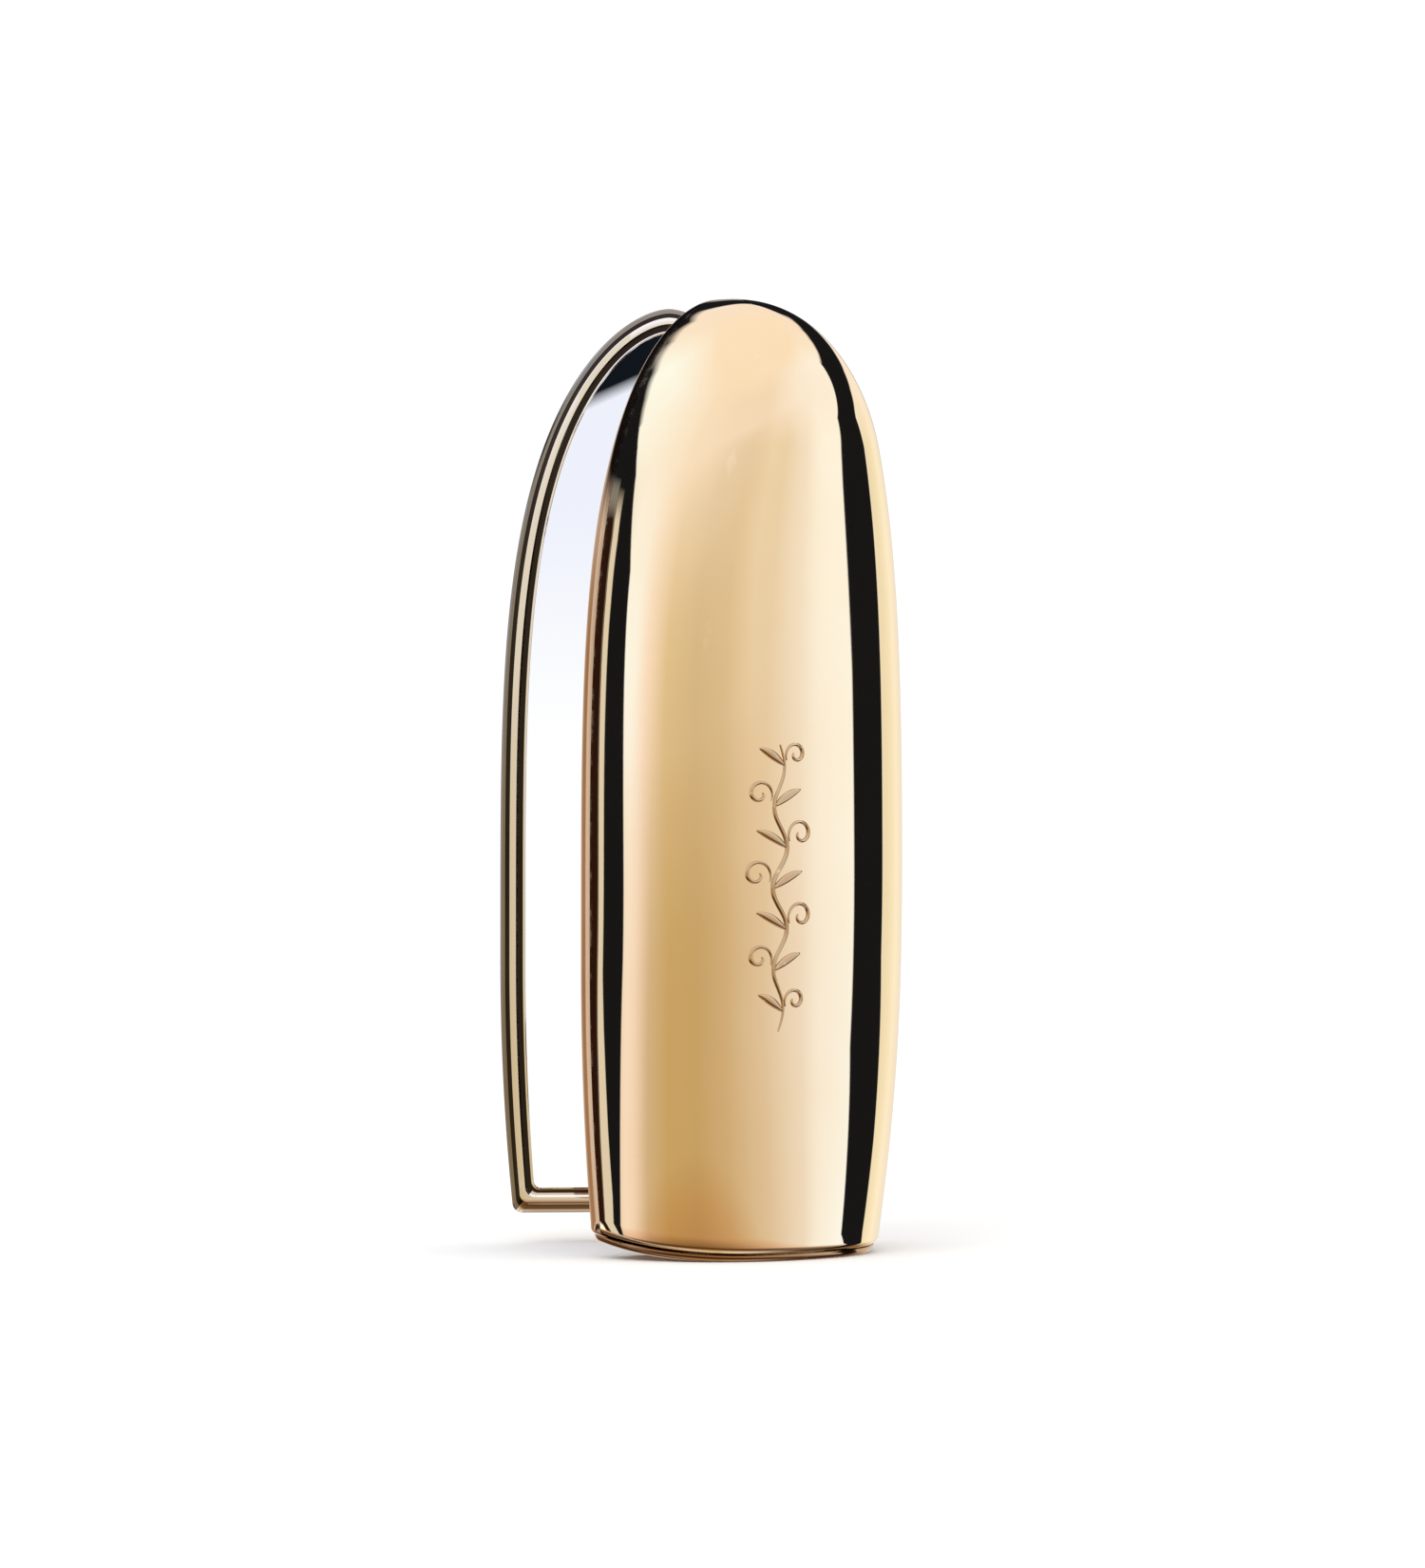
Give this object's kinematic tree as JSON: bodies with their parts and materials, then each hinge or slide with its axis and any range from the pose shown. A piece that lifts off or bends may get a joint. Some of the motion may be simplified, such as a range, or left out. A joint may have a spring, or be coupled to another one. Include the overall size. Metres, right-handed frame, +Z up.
{
  "type": "lipstick case",
  "caption": "Arch-topped polished gold lipstick case that stands upright, with a side-hinged mirror lid and a pull-out, twist-up refill.",
  "frame": {"origin": "centre of the foot's flat underside, on the refill's axis", "axes": "+Z up along the refill's axis; the crowned front faces -Y, the mirror lid is behind at +Y, its hinge runs up the +X edge"},
  "size_m": [0.0326, 0.0365, 0.087],
  "materials": {
    "case_gold": "mirror polished gold plate",
    "frame_gold": "polished champagne gold plate",
    "mirror_silver": "silvered glass mirror",
    "mirror_tape": "thin adhesive film",
    "chassis_plastic": "moulded, fine texture",
    "liner_plastic": "moulded, smooth",
    "hinge_steel": "fine brushed",
    "spring_steel": "drawn wire",
    "catch_metal": "nickel plated",
    "refill_gold": "satin to polished gold plate",
    "cam_plastic": "moulded, slippery",
    "tube_plastic": "moulded, smooth",
    "seal_rubber": "smooth silicone",
    "weight_steel": "turned",
    "disc_film": "blank printed film",
    "cup_plastic": "metallised",
    "lipstick_red": "smooth wax"
  },
  "bodies": {
    "case": {"front_shell": "case_gold", "front_tray": "frame_gold", "front_mirror": "mirror_silver", "front_mirror_tape": "mirror_tape", "chassis": "chassis_plastic", "socket_liner": "liner_plastic", "case_hinge_leaf": "hinge_steel", "hinge_pin": "hinge_steel", "hinge_spring": "spring_steel", "catch_magnet": "catch_metal"},
    "lid": {"rear_shell": "case_gold", "rear_tray": "frame_gold", "rear_mirror": "mirror_silver", "rear_mirror_tape": "mirror_tape", "lid_hinge_leaf": "hinge_steel", "catch_strike": "catch_metal"},
    "refill": {"refill_sleeve": "refill_gold", "cam_sleeve": "cam_plastic", "brake_ring": "seal_rubber"},
    "base": {"foot_plate": "case_gold", "base_barrel": "refill_gold", "inner_tube": "tube_plastic", "weight_slug": "weight_steel", "base_o_ring": "seal_rubber", "shade_disc": "disc_film"},
    "cup": {"bullet_cup": "cup_plastic", "lipstick_bullet": "lipstick_red"}
  },
  "joints": [
    {"name": "lid_hinge", "type": "hinge", "parent": "case", "child": "lid", "pos_m": [0.01585, 0.00815, 0.029], "axis": [0, 0, -1], "range_deg": [-37, 68]},
    {"name": "refill_slide", "type": "slide", "parent": "case", "child": "refill", "axis": [0, 0, -1], "range_m": [0, 0.05]},
    {"name": "base_turn", "type": "hinge", "parent": "refill", "child": "base", "pos_m": [0, 0, 0], "axis": [0, 0, 1], "range_deg": [0, 540]},
    {"name": "cup_lift", "type": "slide", "parent": "base", "child": "cup", "axis": [0, 0, 1], "range_m": [0, 0.01801]}
  ],
  "couplings": [
    {"joint": "cup_lift", "follows": "base_turn", "m_per_rad": 0.0019099}
  ]
}
